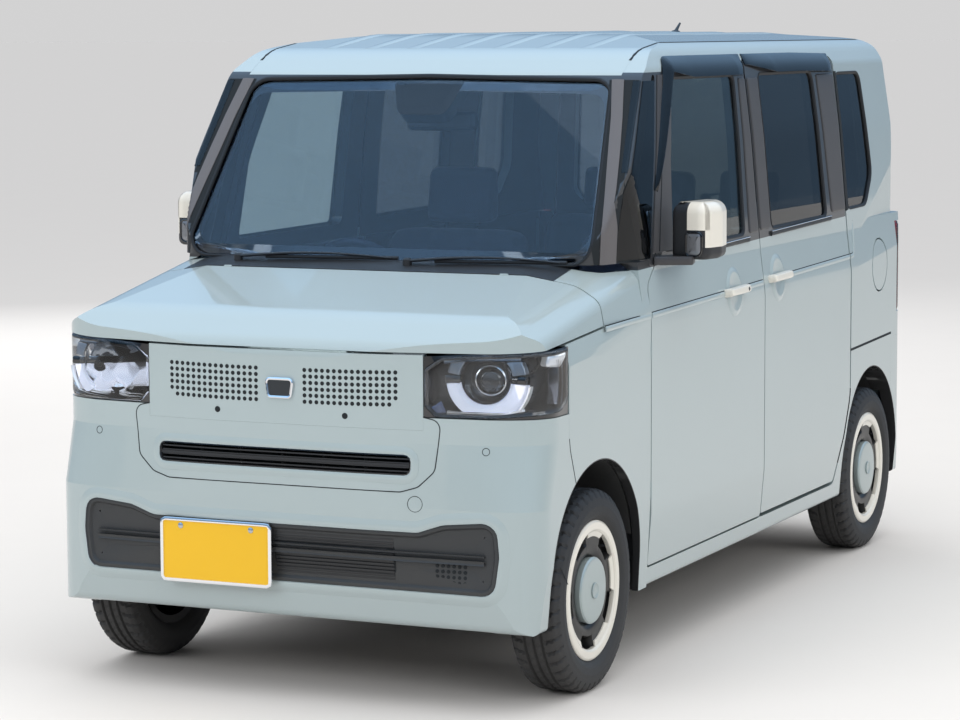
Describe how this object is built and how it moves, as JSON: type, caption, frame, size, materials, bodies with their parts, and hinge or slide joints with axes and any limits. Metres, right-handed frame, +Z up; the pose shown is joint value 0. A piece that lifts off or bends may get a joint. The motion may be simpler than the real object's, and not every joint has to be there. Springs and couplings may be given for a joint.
{
  "type": "kei car",
  "caption": "Boxy tall kei car with upright nose, sliding rear doors, swinging front doors, bonnet, tailgate and steered front wheels.",
  "frame": {"origin": "on the ground below the middle of the car's bounding box", "axes": "+X to the car's left side, -Y forwards, +Z up"},
  "size_m": [1.7488, 3.3948, 1.7897],
  "materials": {
    "body_paint": "gloss",
    "under_paint": "satin",
    "glass_clear": "gloss",
    "glass_dark": "gloss",
    "lamp_front": "gloss",
    "lamp_rear": "gloss",
    "trim_black": "matte",
    "grille_grey": "satin",
    "dash_dark": "matte",
    "seat_cloth": "matte",
    "mirror_cap": "gloss",
    "plate_yellow": "satin",
    "tyre": "matte",
    "rim": "gloss",
    "chassis_steel": "matte",
    "engine_alloy": "rough",
    "exhaust_steel": "satin"
  },
  "bodies": {
    "body": {"floor_pan": "under_paint", "body_side_left": "body_paint", "body_side_right": "body_paint", "roof_panel": "body_paint", "windscreen": "glass_clear", "side_glass": "glass_dark", "front_fenders": "body_paint", "headlamps": "lamp_front", "grille_panel": "body_paint", "grilles": "grille_grey", "front_bumper": "body_paint", "front_plate": "plate_yellow", "cowl_panel": "trim_black", "wipers": "trim_black", "dashboard": "dash_dark", "seats": "seat_cloth", "slide_doors": "body_paint", "tail_lamps": "lamp_rear", "rear_bumper": "body_paint", "engine_block": "engine_alloy", "fuel_tank": "trim_black", "exhaust": "exhaust_steel", "front_suspension": "chassis_steel", "rear_axle": "chassis_steel"},
    "door_left": {"front_door_left": "body_paint", "door_glass_left": "glass_clear", "mirror_left": "mirror_cap"},
    "door_right": {"front_door_right": "body_paint", "door_glass_right": "glass_clear", "mirror_right": "mirror_cap"},
    "bonnet_lid": {"bonnet": "body_paint"},
    "tailgate_lid": {"tailgate": "body_paint", "tailgate_glass": "glass_dark"},
    "fuel_flap": {"fuel_lid": "body_paint"},
    "steering_wheel": {"steering_wheel": "trim_black"},
    "knuckle_l": {"knuckle_left": "chassis_steel"},
    "knuckle_r": {"knuckle_right": "chassis_steel"},
    "wheel_fl": {"tyre_fl": "tyre", "rim_fl": "rim"},
    "wheel_fr": {"tyre_fr": "tyre", "rim_fr": "rim"},
    "wheel_rl": {"tyre_rl": "tyre", "rim_rl": "rim"},
    "wheel_rr": {"tyre_rr": "tyre", "rim_rr": "rim"}
  },
  "joints": [
    {"name": "door_left_swing", "type": "hinge", "parent": "body", "child": "door_left", "pos_m": [0.7379, -0.8485, 0.7], "axis": [0, 0, -1], "range_deg": [0, 68]},
    {"name": "door_right_swing", "type": "hinge", "parent": "body", "child": "door_right", "pos_m": [-0.7379, -0.8485, 0.7], "axis": [0, 0, 1], "range_deg": [0, 68]},
    {"name": "bonnet_lift", "type": "hinge", "parent": "body", "child": "bonnet_lid", "pos_m": [0, -1.1825, 1.1292], "axis": [-1, 0, 0], "range_deg": [0, 50]},
    {"name": "tailgate_lift", "type": "hinge", "parent": "body", "child": "tailgate_lid", "pos_m": [0, 1.6005, 1.715], "axis": [1, 0, 0], "range_deg": [0, 80]},
    {"name": "fuel_flap_swing", "type": "hinge", "parent": "body", "child": "fuel_flap", "pos_m": [0.73438, 1.284, 0.98], "axis": [0, 0, -1], "range_deg": [0, 90]},
    {"name": "steer_left", "type": "hinge", "parent": "body", "child": "knuckle_l", "pos_m": [0.59, -1.2375, 0.165], "axis": [-0.1462, 0, 0.9892], "range_deg": [-35, 35]},
    {"name": "steer_right", "type": "hinge", "parent": "body", "child": "knuckle_r", "pos_m": [-0.59, -1.2375, 0.165], "axis": [0.1462, 0, 0.9892], "range_deg": [-35, 35]},
    {"name": "steering_wheel_turn", "type": "hinge", "parent": "body", "child": "steering_wheel", "pos_m": [-0.34, -0.4955, 1.01], "axis": [0, 0.8829, 0.4695], "range_deg": [-600, 600]},
    {"name": "wheel_fl_spin", "type": "hinge", "parent": "knuckle_l", "child": "wheel_fl", "pos_m": [0.6525, -1.2375, 0.2785], "axis": [1, 0, 0], "continuous": true},
    {"name": "wheel_fr_spin", "type": "hinge", "parent": "knuckle_r", "child": "wheel_fr", "pos_m": [-0.6525, -1.2375, 0.2785], "axis": [1, 0, 0], "continuous": true},
    {"name": "wheel_rl_spin", "type": "hinge", "parent": "body", "child": "wheel_rl", "pos_m": [0.6525, 1.2825, 0.2785], "axis": [1, 0, 0], "continuous": true},
    {"name": "wheel_rr_spin", "type": "hinge", "parent": "body", "child": "wheel_rr", "pos_m": [-0.6525, 1.2825, 0.2785], "axis": [1, 0, 0], "continuous": true}
  ],
  "couplings": [
    {"joint": "steer_right", "follows": "steering_wheel_turn", "ratio": 0.058333},
    {"joint": "steer_left", "follows": "steering_wheel_turn", "ratio": 0.058333}
  ]
}
